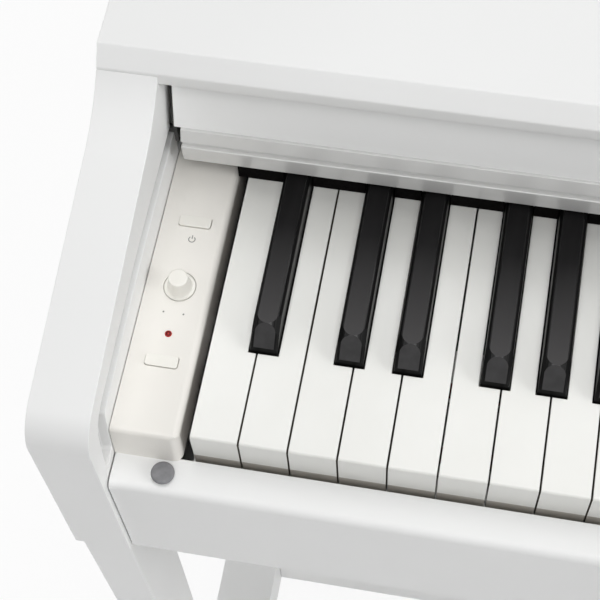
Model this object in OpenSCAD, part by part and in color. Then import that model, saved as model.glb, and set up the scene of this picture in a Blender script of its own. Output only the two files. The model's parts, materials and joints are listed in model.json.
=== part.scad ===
// Digital piano on a stand: 88 hammer-weighted keys, sliding key cover, three pedals.
// Inside every sub-part the zero point is the top front edge of the white keys, at mid-width:
// X runs to the treble end, Y to the back and Z up. at_keys() puts that point in the part's
// own frame, whose origin is on the floor under the middle of the case.

/* [Case] */
// Height of the white key tops above the floor
key_level = 735; // [680:1:780]
// Depth of the case, arm fronts to back edge
case_depth = 410; // [400:1:480]
// Thickness of each side, and so the width of the arm
arm_w = 30; // [24:1:40]
// Distance of the arm fronts ahead of the key fronts
arm_front = 25; // [23:1:40]
// Height of the arm above the keys where its nose ends
arm_nose_z = 38; // [34:1:44]
// Radius of the arm's nose
arm_nose_r = 20; // [10:1:24]
// Rise of the arm's top edge in degrees
arm_slope = 10; // [6:0.5:12]
// Radius of the sweep from the arm up to the top board
sweep_r = 64; // [50:1:70]
// Thickness of the key bed and other structural boards
board_t = 18; // [15:1:25]
// Thickness of the top board
top_t = 18; // [15:1:25]
// Underside of the top board above the key tops
top_under = 69; // [69:1:80]
// Underside of the key bed below the key tops
bed_drop = 112; // [112:1:130]
// Thickness of the back panel
back_t = 12; // [9:1:16]
// Height of the rubber glides under the feet
glide_h = 8; // [5:1:15]
// Height of the foot boards
foot_h = 64; // [50:1:90]

/* [Keyboard] */
// Distance from one white key to the next
white_pitch = 23.5; // [22.5:0.1:24]
// Gap between two white keys
key_gap = 0.9; // [0.6:0.1:1.2]
// Length of the wide head of a white key
head_len = 47.6; // [45:0.1:52]
// Length of a white key that shows in front of the felt
show_len = 143.4; // [138:0.1:150]
// Depth of a white key's front skirt
skirt = 32; // [30:0.5:36]
// Width of a black key at its base
black_w = 13.8; // [13:0.1:14.2]
// Height of the black keys over the white ones
black_h = 12.4; // [11:0.1:13]
// Clearance of a black key in its notch, each side
notch_gap = 0.6; // [0.5:0.1:0.8]
// Distance of the key pivot behind the key fronts
pivot_y = 225; // [215:1:235]
// Width of a key at its pivot
tail_w = 9; // [7:0.5:9.5]
// Radius of the key and hammer pivot rods
rod_r = 2; // [1.5:0.1:2.5]
// Free play between a rod and what turns on it
rod_play = 0.3; // [0.2:0.05:0.5]
// Width of one hammer
hammer_w = 7; // [5:0.5:8]

/* [Key cover] */
// Thickness of the cover board and its fascia
cover_t = 9; // [7:0.5:12]
// Lean of the fascia from upright in degrees
fascia_lean = 17.2; // [12:0.2:22]
// Length of the cover board behind the fascia
cover_len = 190; // [175:1:200]
// Height of the handle's underside over the white keys
handle_z = 14; // [13.5:0.5:16]
// Width of the guide grooves in the arms
groove_w = 11; // [10:0.5:12]
// Depth of the guide grooves
groove_d = 5; // [3:0.5:6]
// Height of the guide grooves' level run over the key tops
groove_z = 25.5; // [25:0.5:28]

/* [Controls] */
// Width of the control block beside the keys
block_w = 33.1; // [30:0.1:40]
// Gap between a block and the first key
block_gap = 4.5; // [2:0.1:6]
// Width of the two push buttons
button_w = 16; // [12:0.5:20]
// Depth of the two push buttons, front to back
button_d = 6; // [4:0.5:9]
// Radius of the volume knob's base ring
knob_r = 7.85; // [6:0.05:9]
// Height of the volume knob over the block
knob_h = 9.4; // [6:0.1:10]
// Radius of the status light
led_r = 1.7; // [1:0.1:2.5]

/* [Stand and music rest] */
// Distance between neighbouring pedals
pedal_pitch = 66; // [60:1:80]
// Width of a pedal's toe
pedal_w = 26; // [20:1:32]
// Depth of the pedal crossbar
crossbar_d = 150; // [130:1:160]
// Height of the pedal crossbar
crossbar_h = 124; // [110:1:150]
// Width of the music rest
rest_w = 760; // [500:10:900]
// Length of the music rest, hinge to edge
rest_len = 158; // [120:1:160]
// Thickness of the music rest
rest_t = 11; // [8:0.5:14]

/* [Hidden] */
$fn = 48;
n_white = 52;
// Letters of the keys that are built one by one: a full octave from the lowest key
low_keys = ["a0", "as0", "b0", "c1", "cs1", "d1", "ds1", "e1", "f1", "fs1", "g1", "gs1"];
// For each of them: index of its white key, or of the white key below a black one
low_index = [0, 0, 1, 2, 2, 3, 3, 4, 5, 5, 6, 6];
low_black = [false, true, false, false, true, false, true, false, false, true, false, true];
n_low_white = 7;
n_low_black = 5;
// Offset of each black key from the white keys' joint, by the letter C to B of the white below
black_shift = [-2.3, 2.3, undef, -3.3, 0, 3.1, undef];

floor_z = -key_level;
key_y = arm_front - case_depth / 2;
side_gap = 0.4;
half_keys = n_white * white_pitch / 2;
inner = half_keys + block_gap + block_w + side_gap;
outer = inner + arm_w;
back_y = case_depth - arm_front;
foot_z = floor_z + glide_h;
foot_top = foot_z + foot_h;
leg_y = 190;
panel_back = back_y - 3;
panel_y = panel_back - back_t;
bed_z = board_t - bed_drop;
foot_in = 16;

// Slip and blocks
slip_front = 22.2;
slip_back = 3;
slip_top = -22.4;
block_len = 186;
block_top = 1;
skin = 2.5;
block_x1 = -half_keys - block_gap;
block_x0 = block_x1 - block_w;
control_x = (block_x0 + block_x1) / 2 + 0.4;
function_y = 35.8;
led_y = 50.5;
knob_y = 76.6;
power_y = 113.4;
board_z = -12.4;
button_rise = 0.9;
button_r = 1.1;
knob_recess = 1.1;

// Arm outline: nose, straight rise and sweep
nose_c = [arm_nose_r - arm_front, arm_nose_z - arm_nose_r];
rise_y0 = nose_c.x - arm_nose_r * sin(arm_slope);
rise_z0 = nose_c.y + arm_nose_r * cos(arm_slope);
rise_y1 = 112;
rise_z1 = rise_z0 + (rise_y1 - rise_y0) * tan(arm_slope);
sweep_c = [rise_y1 - sweep_r * sin(arm_slope), rise_z1 + sweep_r * cos(arm_slope)];
sweep_end = 45;
top_front = sweep_c.x + sweep_r * sin(sweep_end);

// Guide groove: a slanted drop, a bend, a gentle rise and a level run into the pocket
groove_lean = 81.7;
groove_rise = 4.2;
level_y = 76;
rise_len = 75;
bend_r = groove_w / 2 + 2.7;
bend_c = [level_y, groove_z] - rise_len * [cos(groove_rise), sin(groove_rise)]
         + bend_r * [sin(groove_rise), -cos(groove_rise)];
drop_len = 29;
pocket_d = 8;
pocket_y = 154;

// Cover
fascia_y = 144.4;
fascia_z = 37.8;
cover_top = top_under - 1.5;
cover_r = 4;
fascia_half = inner - 3.6;
handle_half = inner - 7;
pin_y = 153;
pin_z = groove_z - 2.5;
pin_r = 2.2;
lean_c = [fascia_y + (cover_top - cover_r - fascia_z) * tan(fascia_lean) + cover_r / cos(fascia_lean),
          cover_top - cover_r];

// Keys and hammers
notch_w = black_w + 2 * notch_gap;
tip_y = head_len + 11.1;
tip_slope = 42.5;
tip_r = 5;
top_rise = 0.25;
crown_r = 2.6;
crown_a = 15;
prism_deep = 260;
pivot_z = -11;
key_under = -18;
key_back = pivot_y + 7;
step_y = show_len + 6.6;
key_drop = -4;
driver_y = 90;
driver_d = 6;
driver_z = -34;
bore_r = rod_r + rod_play;
seat_r = rod_r + 0.05;
hammer_y = 140;
hammer_z = -50;
tail_high = -47;
tail_low = -74;
white_slot = 16;
black_slot = 66;
slot_w = 7.2;
slot_d = 13;
post_w = slot_w - 1.2;
post_d = slot_d - 3;
white_post_top = -17;
black_post_top = -7;

// Action frame
sheet = 2;
frame_y0 = 4;
frame_y1 = 272;
shelf_z = -43.5;
black_shelf_z = -29.5;
black_shelf_y = 50;
black_wall_y = 76;
stop_z = -28.6;
stop_y = 240;
rest_shelf_z = -78;
rest_shelf_y = 228;
felt_y = 264;
rib_t = 2;
frame_half = half_keys + 3;
rail_y = step_y + 1;
rail_d = 3;
felt_top = black_h + 1.3;
strip_z = -60;
bolt_x = [-540, -300, -60, 60, 300, 540];
bolt_y = [20, 180];
bolt_r = 2;
screw_r = 1.6;

// Pedals and stand
crossbar_y = 150;
pedal_z = foot_z + 58;
pedal_pivot_y = crossbar_y + 112;
pedal_slot = pedal_w + 2;
pedal_pin_r = 3;
pedal_half = pedal_pitch * 1.5;
leg_d = 46;
headphone_x = -594;
jack_x = 450;
jack_z = -50;
jack_r = 3.25;
dc_r = 3;
speaker_x = 465;
speaker_r = 48;
speaker_box = [270, 200, 80];
speaker_y = 130;
wall = 9;
grille_pitch = 16;
grille_t = 3;

// Music rest
top_z = top_under + top_t;
ledge_y = 186;
rest_axis_y = 212;
rest_axis_z = top_z + 1 + rest_t / 2;
rest_pin_r = 3;
rest_hinge_x = 300;
knuckle_w = 20;

// ---- Shared shapes ----

function arc(c, r, a0, a1, n = 8) =
    [for (i = [0:n]) c + r * [cos(a0 + (a1 - a0) * i / n), sin(a0 + (a1 - a0) * i / n)]];

// Outline of a plate with rounded corners
function rounded(w, d, r) = concat(
    arc([w / 2 - r, d / 2 - r], r, 0, 90, 4), arc([r - w / 2, d / 2 - r], r, 90, 180, 4),
    arc([r - w / 2, r - d / 2], r, 180, 270, 4), arc([w / 2 - r, r - d / 2], r, 270, 360, 4));

module at_keys() translate([0, key_y, key_level]) children();

// A block between two opposite corners
module block(a, b) translate(a) cube(b - a);

// A profile in Y and Z, run along X
module along_x(x0, x1) translate([x0, 0, 0]) rotate([90, 0, 90]) linear_extrude(x1 - x0) children();

// A profile in X and Z, run along Y
module along_y(y0, y1) translate([0, y1, 0]) rotate([90, 0, 0]) linear_extrude(y1 - y0) children();

module rod_x(x0, x1, y, z, r) translate([x0, y, z]) rotate([0, 90, 0]) cylinder(r = r, h = x1 - x0);

module rod_y(x, y0, y1, z, r) translate([x, y1, z]) rotate([90, 0, 0]) cylinder(r = r, h = y1 - y0);

module both_sides() {
    children();
    mirror([1, 0, 0]) children();
}

// ---- Case ----

// Outline of a side: arm, sweep, seat of the top board, and the upright behind the knees
function side_outline() = concat(
    arc(nose_c, arm_nose_r, 180, 90 + arm_slope),
    arc(sweep_c, sweep_r, arm_slope - 90, sweep_end - 90),
    [[top_front, top_under], [back_y, top_under], [back_y, foot_top], [leg_y, foot_top]],
    arc([leg_y - 25, -bed_drop - 25], 25, 0, 90),
    [[-arm_front, -bed_drop]]);

// Outline of the guide groove, cut off level at its lower end
function groove_outline() =
    let (h = groove_w / 2,
         a = 90 + groove_lean,
         dir = [cos(groove_lean), sin(groove_lean)],
         low = bend_c + bend_r * [cos(a), sin(a)] - drop_len * dir)
    concat(
        [low + h * [cos(a), sin(a)] + 1.5 * dir, low + (h - 1.5) * [cos(a), sin(a)],
         low - (h - 1.5) * [cos(a), sin(a)], low - h * [cos(a), sin(a)] + 1.5 * dir],
        arc(bend_c, bend_r - h, a, 90 + groove_rise),
        [[level_y, groove_z - h], [pocket_y + 20, groove_z - h], [pocket_y + 20, groove_z + h],
         [level_y, groove_z + h]],
        arc(bend_c, bend_r + h, 90 + groove_rise, a));

// The dark space behind the arm's inner face, where the cover's ends run
function pocket_outline() = [
    [pocket_y, block_top], [pocket_y, 18.6], [pocket_y - 3.6, 24], [pocket_y - 5.5, 27],
    [pocket_y - 6, 30], [pocket_y + 3, 54], [pocket_y + 7, top_under + 1],
    [panel_y - 2, top_under + 1], [panel_y - 2, block_top]];

module side() {
    color("whitesmoke")
    difference() {
        along_x(-outer, -inner) polygon(side_outline());
        along_x(-inner - groove_d, -inner + 1) polygon(groove_outline());
        along_x(-inner - pocket_d, -inner + 1) polygon(pocket_outline());
    }
}

module side_left() side();

module side_right() mirror([1, 0, 0]) side();

// Front posts under the arms, and the foot boards that carry posts and sides
module leg_stands() {
    foot = [[-arm_front, foot_z], [-arm_front, foot_top - 14], [12 - arm_front, foot_top],
            [back_y, foot_top], [back_y, foot_z], [back_y - 60, foot_z],
            [back_y - 66, foot_z + 5], [66 - arm_front, foot_z + 5], [60 - arm_front, foot_z]];
    post = [[3 - arm_front, -bed_drop], [3 - arm_front + leg_d, -bed_drop],
            [leg_d - 3 - arm_front, foot_top], [13 - arm_front, foot_top]];
    color("whitesmoke")
    both_sides() {
        along_x(-outer, foot_in - inner) polygon(foot);
        along_x(2 - outer, -inner - 2) polygon(post);
    }
}

// Four corner glides, and the screw foot that props the crossbar when a pedal is pressed
module glides() {
    color("dimgray") {
        both_sides()
            for (y = [5, back_y - 30])
                translate([8 - outer + arm_w / 2, y, floor_z]) cylinder(r1 = 13, r2 = 15, h = glide_h);
        translate([0, crossbar_y + 45, floor_z]) cylinder(r = 17, h = glide_h - 2);
        translate([0, crossbar_y + 45, floor_z + glide_h - 2]) cylinder(r = 5, h = 10);
    }
}

module top_board() {
    profile = [[top_front, top_under], [top_front, top_under + top_t / 2],
               [top_front + 8, top_z], [back_y, top_z], [back_y, top_under]];
    color("whitesmoke") along_x(-outer, outer) polygon(profile);
}

// The back panel covers the case and stiffens the stand below it
module back_panel() {
    color("gainsboro")
    difference() {
        block([-inner, panel_y, -bed_drop - 320], [inner, panel_back, top_under]);
        block([jack_x - 55, panel_y - 1, jack_z - 15], [jack_x + 55, panel_back + 1, jack_z + 15]);
        for (x = bolt_x)
            rod_y(x, panel_y - 1, panel_back + 1, bed_z - board_t / 2, screw_r + 0.3);
    }
}

module key_bed() {
    color("gainsboro")
    difference() {
        block([-inner, -slip_back, -bed_drop], [inner, panel_y, bed_z]);
        for (x = bolt_x) {
            for (y = bolt_y)
                translate([x, y, -bed_drop - 1]) cylinder(r = bolt_r + 0.3, h = board_t + 2);
            rod_y(x, panel_y - 30, panel_y + 1, bed_z - board_t / 2, screw_r + 0.3);
        }
    }
}

// Front rail below the keys, with a rounded top front edge
module key_slip() {
    profile = concat([[-slip_front, -bed_drop]],
                     arc([4.5 - slip_front, slip_top - 4.5], 4.5, 180, 90),
                     [[-slip_back, slip_top], [-slip_back, -bed_drop]]);
    color("whitesmoke") along_x(0.6 - inner, inner - 0.6) polygon(profile);
}

module slip_bumpers() {
    profile = concat([[0, 0], [5.2, 0]], arc([4.55, 1.8], 1.2, -20, 90, 5), [[0, 3.2]]);
    color("gray")
    both_sides()
        translate([block_x1 + 3.4 - 11, -12.2, slip_top]) rotate_extrude() polygon(profile);
}

// ---- End blocks and controls ----

// A moulded end block: leaning front, rounded towards the keys and the player, open underneath
module block_shell() {
    front_r = 3;
    key_r = 3.5;
    corner_r = 4.5;
    lean = 5.5;
    rear = block_len + 20;
    brow = [-front_r * cos(lean), block_top - front_r * (1 - sin(lean))];
    toe = brow - (brow.y - slip_top) * [tan(lean), 1];
    side_view = concat([toe], arc([0, block_top - front_r], front_r, 180 - lean, 90),
                       [[block_len, block_top], [block_len, slip_top]]);
    front_view = concat([[block_x0, slip_top], [block_x0, block_top]],
                        arc([block_x1 - key_r, block_top - key_r], key_r, 90, 0),
                        [[block_x1, slip_top]]);
    plan = concat([[block_x0, rear], [block_x0, 0]],
                  arc([block_x1 - corner_r, corner_r], corner_r, 270, 360), [[block_x1, rear]]);
    difference() {
        intersection() {
            along_x(block_x0, block_x1) polygon(side_view);
            along_y(-6, block_len + 1) polygon(front_view);
            translate([0, brow.x, brow.y]) rotate([-lean, 0, 0]) translate([0, 0, -60])
                linear_extrude(120) polygon(plan);
        }
        block([block_x0 + skin, -0.5, slip_top - 1],
              [block_x1 - skin, block_len - skin, block_top - skin]);
    }
    // Screw bosses stand on the key bed
    for (y = [12, block_len - 26])
        difference() {
            translate([control_x, y, bed_z]) cylinder(r = 5, h = block_top - skin - bed_z + 0.5);
            translate([control_x, y, bed_z - 1]) cylinder(r = 1.6, h = 30);
        }
}

module key_blocks() {
    color("ivory") {
        difference() {
            block_shell();
            for (y = [function_y, power_y])
                translate([control_x, y, block_top - skin - 1]) linear_extrude(skin + 2)
                    polygon(rounded(button_w + 0.6, button_d + 0.6, button_r + 0.3));
            translate([control_x, knob_y, block_top - skin - 1]) cylinder(r = 3.4, h = skin + 2);
            translate([control_x, knob_y, block_top - knob_recess]) cylinder(r = knob_r + 0.35, h = 2);
            translate([control_x, led_y, block_top - skin - 1]) cylinder(r = led_r + 0.05, h = skin + 2);
        }
        // Standoffs for the control board
        for (x = [-9, 9], y = [56, 94])
            translate([control_x + x, y, board_z]) cylinder(r = 2, h = block_top - skin - board_z + 0.5);
        mirror([1, 0, 0]) block_shell();
    }
}

// A push button: cap, retaining flange under the block and a stem over its switch
module button(y) {
    top = block_top + button_rise;
    under = block_top - skin - 0.3;
    color("ivory") {
        translate([control_x, y, under - 0.1]) linear_extrude(top - under + 0.1)
            polygon(rounded(button_w, button_d, button_r));
        block([control_x - button_w / 2 - 1.5, y - button_d / 2 - 1.2, under - 1.5],
              [control_x + button_w / 2 + 1.5, y + button_d / 2 + 1.2, under]);
        translate([control_x, y, -8]) cylinder(r = 2, h = under - 1 + 8);
    }
}

module power_button() button(power_y);

module function_button() button(function_y);

// Knob on its shaft: a base ring that sits in a recess of the block, and a flared grip
module volume_knob() {
    foot = block_top - knob_recess + 0.3;
    rim = block_top + 0.5;
    top = block_top + knob_h;
    grip_r = knob_r * 0.63;
    flare_r = knob_r * 0.8;
    profile = concat([[0, board_z + 8.2], [3, board_z + 8.2], [3, foot], [knob_r, foot],
                      [knob_r, rim - 0.3], [knob_r - 0.3, rim], [flare_r, rim],
                      [flare_r - 0.5, rim + 1.2], [grip_r + 0.35, rim + 3.4]],
                     arc([grip_r - 0.7, top - 0.7], 0.7, 0, 90, 4),
                     [[0, top]]);
    color("ivory") translate([control_x, knob_y, 0]) rotate_extrude() polygon(profile);
}

module status_led() {
    color("firebrick")
    translate([control_x, led_y, 0]) {
        translate([0, 0, board_z]) cylinder(r = led_r, h = block_top + 0.4 - board_z);
        translate([0, 0, board_z]) cylinder(r = led_r + 0.8, h = 2);
    }
}

// Control board under the block, contact board under the hammers, main board on the key bed
module circuit_boards() {
    color("darkgreen") {
        block([block_x0 + skin + 0.5, 24, board_z - 1.6], [block_x1 - skin - 0.5, 134, board_z]);
        translate([control_x, knob_y, board_z]) cylinder(r = 6, h = 7.9);
        for (y = [function_y, power_y])
            block([control_x - 3, y - 3, board_z], [control_x + 3, y + 3, board_z + 3]);
        block([-frame_half + 6, 84, strip_z], [frame_half - 6, 112, strip_z + 1.6]);
        block([-200, frame_y1 + 12, bed_z + 8], [60, panel_y - 6, bed_z + 9.6]);
        for (x = [-190, 50], y = [frame_y1 + 20, panel_y - 14])
            translate([x, y, bed_z]) cylinder(r = 3, h = 8.5);
        block([-150, frame_y1 + 30, bed_z + 9.6], [-100, frame_y1 + 62, bed_z + 24]);
        block([-40, frame_y1 + 36, bed_z + 9.6], [-10, frame_y1 + 66, bed_z + 12]);
    }
}

// ---- Keyboard ----

// Letter of a white key, C = 0 to B = 6; the lowest key is an A
function letter(i) = (i + 5) % 7;
function joint_x(i) = i * white_pitch - half_keys;
function black_x(i) = joint_x(i + 1) + black_shift[letter(i)];
function has_black(i) = i >= 0 && i < n_white - 1 && black_shift[letter(i)] != undef;
function tail_x0(i) = has_black(i - 1) ? black_x(i - 1) + notch_w / 2 : joint_x(i) + key_gap / 2;
function tail_x1(i) = has_black(i) ? black_x(i) - notch_w / 2 : joint_x(i + 1) - key_gap / 2;
function tail_mid(i) = (tail_x0(i) + tail_x1(i)) / 2;

// Side outline of a key's hidden part: pivot end, underside and driver post
function key_rear(front_y) = [
    [step_y, key_drop], [key_back, key_drop], [key_back, key_under],
    [driver_y + driver_d + 1, key_under], [driver_y + driver_d, driver_z],
    [driver_y, driver_z], [driver_y - 1, key_under], [front_y, key_under]];

module guide_slot(x, y, top) {
    block([x - slot_w / 2, y - slot_d / 2, -skirt - 1], [x + slot_w / 2, y + slot_d / 2, top]);
}

module white_key(i) {
    x0 = joint_x(i) + key_gap / 2;
    x1 = joint_x(i + 1) - key_gap / 2;
    mid = tail_mid(i);
    side_view = concat([[0, -skirt], [0, -0.8], [0.8, 0], [step_y - 2, 0]],
                       key_rear(30), [[28, -skirt]]);
    plan = [[x0, 0], [x1, 0], [x1, head_len], [tail_x1(i), head_len], [tail_x1(i), 200],
            [mid + tail_w / 2, 204], [mid + tail_w / 2, key_back + 1],
            [mid - tail_w / 2, key_back + 1], [mid - tail_w / 2, 204],
            [tail_x0(i), 200], [tail_x0(i), head_len], [x0, head_len]];
    difference() {
        intersection() {
            along_x(x0 - 1, x1 + 1) polygon(side_view);
            translate([0, 0, -skirt - 10]) linear_extrude(skirt + 20) polygon(plan);
        }
        guide_slot((x0 + x1) / 2, white_slot, -5);
        rod_x(x0 - 2, x1 + 2, pivot_y, pivot_z, bore_r);
    }
}

// Closed outline from its right half, listed from the top down
function mirrored(half) =
    concat(half, [for (i = [len(half) - 1:-1:0]) [-half[i].x, half[i].y]]);

// Section of a black key: a flat of the given half-width with crowned flanks
function crowned(flat) = mirrored(concat(
    arc([flat - crown_r * sin(crown_a), -crown_r * cos(crown_a)], crown_r, 90 - crown_a, 2, 6),
    [[black_w / 2, -black_h], [black_w / 2, -prism_deep]]));

// Section that rounds the corners between the top and the sloped tip
function tip_section() = mirrored(concat(
    [for (a = [4:11:70]) [tip_r * sin(a), tip_r * sin(tip_slope / 2) * (cos(a) - 1)]],
    [[tip_r * sin(70) + 3, tip_r * sin(tip_slope / 2) * (cos(70) - 1) - 3],
     [tip_r * sin(70) + 3, -prism_deep]]));

// A section drawn along the key through its tip's crease, tilted up to the back
module tip_prism(tilt)
    translate([0, tip_y, black_h - 0.4]) rotate([tilt, 0, 0]) along_y(-60, 200) children();

// Black key above white key i: its level top, its sloped tip and the corners between them
module black_key(i) {
    front = head_len + 0.8;
    h = black_w / 2;
    side_view = concat([[front, key_under], [front, 0], [front + 0.8, 3],
                        [front + 0.8, black_h + 1], [step_y - 2, black_h + 1]],
                       key_rear(front + 1));
    plan = [[-h, head_len], [h, head_len], [h, 200], [tail_w / 2, 204],
            [tail_w / 2, key_back + 1], [-tail_w / 2, key_back + 1], [-tail_w / 2, 204], [-h, 200]];
    translate([black_x(i), 0, 0])
    difference() {
        intersection() {
            along_x(-h - 1, h + 1) polygon(side_view);
            tip_prism(top_rise) polygon(crowned(h - 2.2));
            tip_prism(tip_slope) polygon(crowned(h - 1.9));
            tip_prism(tip_slope / 2) polygon(tip_section());
            translate([0, 0, -50]) linear_extrude(70) polygon(plan);
        }
        guide_slot(0, black_slot, 2);
        rod_x(-h - 1, h + 1, pivot_y, pivot_z, bore_r);
    }
}

module low_key(n) {
    if (low_black[n]) color("black") black_key(low_index[n]);
    else color("white") white_key(low_index[n]);
}

module upper_white_keys() color("white") for (i = [n_low_white:n_white - 1]) white_key(i);

module upper_black_keys()
    color("black") for (i = [n_low_white:n_white - 2]) if (has_black(i)) black_key(i);

// Weighted hammer lever: nose under the key's driver, pivot boss, beam and head
module hammer(x) {
    nose_y = driver_y - 6;
    nose_z = driver_z - 0.3;
    head_y = hammer_y + 82;
    beam = [[nose_y, nose_z - 7.7], [nose_y, nose_z], [nose_y + 18, nose_z], [nose_y + 24, nose_z - 2.7],
            [hammer_y - 6, hammer_z + 6], [hammer_y + 6, hammer_z + 6],
            [head_y, hammer_z - 2], [head_y + 4, tail_high], [felt_y - 2, tail_high],
            [felt_y, tail_high - 4], [felt_y, tail_low + 2], [felt_y - 2, tail_low],
            [head_y + 4, tail_low], [head_y, tail_low + 10],
            [hammer_y + 6, hammer_z - 7], [hammer_y - 6, hammer_z - 7], [nose_y + 22, nose_z - 8.7]];
    color("slategray")
    difference() {
        along_x(x - hammer_w / 2, x + hammer_w / 2) polygon(beam);
        rod_x(x - hammer_w, x + hammer_w, hammer_y, hammer_z, bore_r);
    }
}

function low_x(n) = low_black[n] ? black_x(low_index[n]) : tail_mid(low_index[n]);

module upper_hammers() {
    for (i = [n_low_white:n_white - 1]) hammer(tail_mid(i));
    for (i = [n_low_white:n_white - 2]) if (has_black(i)) hammer(black_x(i));
}

// Felt comb that closes the gap behind the visible keys and lets the black keys through
module key_felt() {
    low = 0.6;
    roof = black_h + 0.5;
    teeth = [for (i = [0:n_white - 2]) if (has_black(i))
        each [[black_x(i) - notch_w / 2, low], [black_x(i) - notch_w / 2, roof],
              [black_x(i) + notch_w / 2, roof], [black_x(i) + notch_w / 2, low]]];
    outline = concat([[-half_keys - block_gap, low]], teeth,
                     [[half_keys + block_gap, low], [half_keys + block_gap, felt_top],
                      [-half_keys - block_gap, felt_top]]);
    color("#161010") along_y(show_len, rail_y) polygon(outline);
}

// Ribs carry both pivot rods at each octave, where two white tails leave room
module frame_rib(x) {
    outline = [[frame_y0 + 1, bed_z + 1], [frame_y1 - 1, bed_z + 1], [frame_y1 - 1, stop_z + 1],
               [felt_y + 2, stop_z + 1], [felt_y + 2, stop_z - 4], [stop_y - 2, stop_z - 4],
               [pivot_y + 11, pivot_z + 9], [pivot_y - 11, pivot_z + 9], [pivot_y - 19, pivot_z - 19],
               [hammer_y + 12, hammer_z + 14], [hammer_y - 12, hammer_z + 14],
               [hammer_y - 22, strip_z], [82, strip_z], [black_wall_y + 0.5, black_shelf_z - 1],
               [black_shelf_y + 2, black_shelf_z - 1], [black_shelf_y, shelf_z - 1],
               [frame_y0 + 1, shelf_z - 1]];
    difference() {
        along_x(x - rib_t / 2, x + rib_t / 2) polygon(outline);
        rod_x(x - rib_t, x + rib_t, pivot_y, pivot_z, seat_r);
        rod_x(x - rib_t, x + rib_t, hammer_y, hammer_z, seat_r);
        block([x - rib_t, rest_shelf_y - 4, rest_shelf_z], [x + rib_t, felt_y + 2, rest_shelf_z + 6]);
    }
}

// Sheet-steel chassis with shelves, ribs and a guide post for every key, and its two rods
module action_frame() {
    sheets = [[[frame_y0, bed_z], [frame_y1, bed_z + sheet]],
              [[frame_y0, bed_z], [frame_y0 + sheet, shelf_z]],
              [[frame_y0, shelf_z - sheet], [32, shelf_z]],
              [[black_wall_y, bed_z], [black_wall_y + sheet, black_shelf_z]],
              [[black_shelf_y, black_shelf_z - sheet], [black_wall_y + sheet, black_shelf_z]],
              [[rest_shelf_y, bed_z], [rest_shelf_y + sheet, rest_shelf_z]],
              [[rest_shelf_y, rest_shelf_z - sheet], [felt_y, rest_shelf_z]],
              [[frame_y1 - sheet, bed_z], [frame_y1, stop_z + sheet]],
              [[stop_y, stop_z], [frame_y1, stop_z + sheet]]];
    rib_x = concat([1 - frame_half], [for (i = [2:7:n_white - 1]) joint_x(i)], [frame_half - 1]);
    color("silver") {
        difference() {
            union() {
                for (s = sheets)
                    block([-frame_half, s[0].x, s[0].y], [frame_half, s[1].x, s[1].y]);
                for (x = rib_x) frame_rib(x);
                for (i = [0:n_white - 1])
                    block([joint_x(i + 0.5) - post_w / 2, white_slot - post_d / 2, shelf_z - 0.5],
                          [joint_x(i + 0.5) + post_w / 2, white_slot + post_d / 2, white_post_top]);
                for (i = [0:n_white - 2]) if (has_black(i))
                    block([black_x(i) - post_w / 2, black_slot - post_d / 2, black_shelf_z - 0.5],
                          [black_x(i) + post_w / 2, black_slot + post_d / 2, black_post_top]);
            }
            for (x = bolt_x, y = bolt_y)
                translate([x, y, bed_z - 1]) cylinder(r = bolt_r + 0.3, h = sheet + 2);
        }
        rod_x(-frame_half, frame_half, pivot_y, pivot_z, rod_r);
        rod_x(-frame_half, frame_half, hammer_y, hammer_z, rod_r);
        // Rail behind the key felt, held between the end blocks
        block([-half_keys - block_gap, rail_y, key_drop + 1],
              [half_keys + block_gap, rail_y + rail_d, felt_top]);
    }
}

// Key stops at the front, hammer rest and hammer stop at the back
module action_felts() {
    color("darkred") {
        block([-half_keys, 23, shelf_z], [half_keys, 31, shelf_z + 1.6]);
        block([-half_keys, 52, black_shelf_z], [half_keys, 59, black_shelf_z + 3]);
        block([-half_keys, rest_shelf_y + 4, rest_shelf_z], [half_keys, felt_y - 2, tail_low - 0.3]);
        block([-half_keys, stop_y + 2, stop_z - 3], [half_keys, felt_y, stop_z]);
    }
}

// ---- Key cover ----

// Board and fascia in one folded profile
module key_cover() {
    lean = tan(fascia_lean);
    inner_top = cover_top - cover_t;
    inner_y = fascia_y + cover_t / cos(fascia_lean);
    profile = concat([[fascia_y, fascia_z]],
                     arc(lean_c, cover_r, 180 - fascia_lean, 90),
                     [[fascia_y + cover_len, cover_top], [fascia_y + cover_len, inner_top],
                      [inner_y + (inner_top - fascia_z) * lean, inner_top],
                      [inner_y, fascia_z]]);
    color("whitesmoke") along_x(-fascia_half, fascia_half) polygon(profile);
}

// Glossy handle rail: a band, a finger groove and a rounded nose
module cover_handle() {
    front = fascia_y - 4.6;
    profile = concat([[fascia_y - 1.2, fascia_z], [fascia_y - 3.8, fascia_z - 7.2],
                      [fascia_y - 2.3, fascia_z - 8.2], [fascia_y - 2.3, handle_z + 13.4]],
                     arc([front + 0.7, handle_z + 12.7], 0.7, 90, 180, 5),
                     arc([front + 1.2, handle_z + 1.2], 1.2, 180, 270, 5),
                     [[fascia_y + 5, handle_z], [fascia_y + 5, fascia_z - 12],
                      [fascia_y + 9, fascia_z]]);
    color("whitesmoke") along_x(-handle_half, handle_half) polygon(profile);
}

// End plates with the pins that run in the arms' grooves
module cover_guides() {
    plate = [[pin_y - 5, pin_z - 4], [pin_y + 7, pin_z - 4], [pin_y + 20, cover_top - 6],
             [pin_y + 4, cover_top - 6], [pin_y - 5, fascia_z]];
    color("dimgray")
    both_sides() {
        along_x(-fascia_half - 2, -fascia_half) polygon(plate);
        rod_x(0.4 - inner - groove_d, -fascia_half - 1, pin_y, pin_z, pin_r);
    }
}

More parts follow.
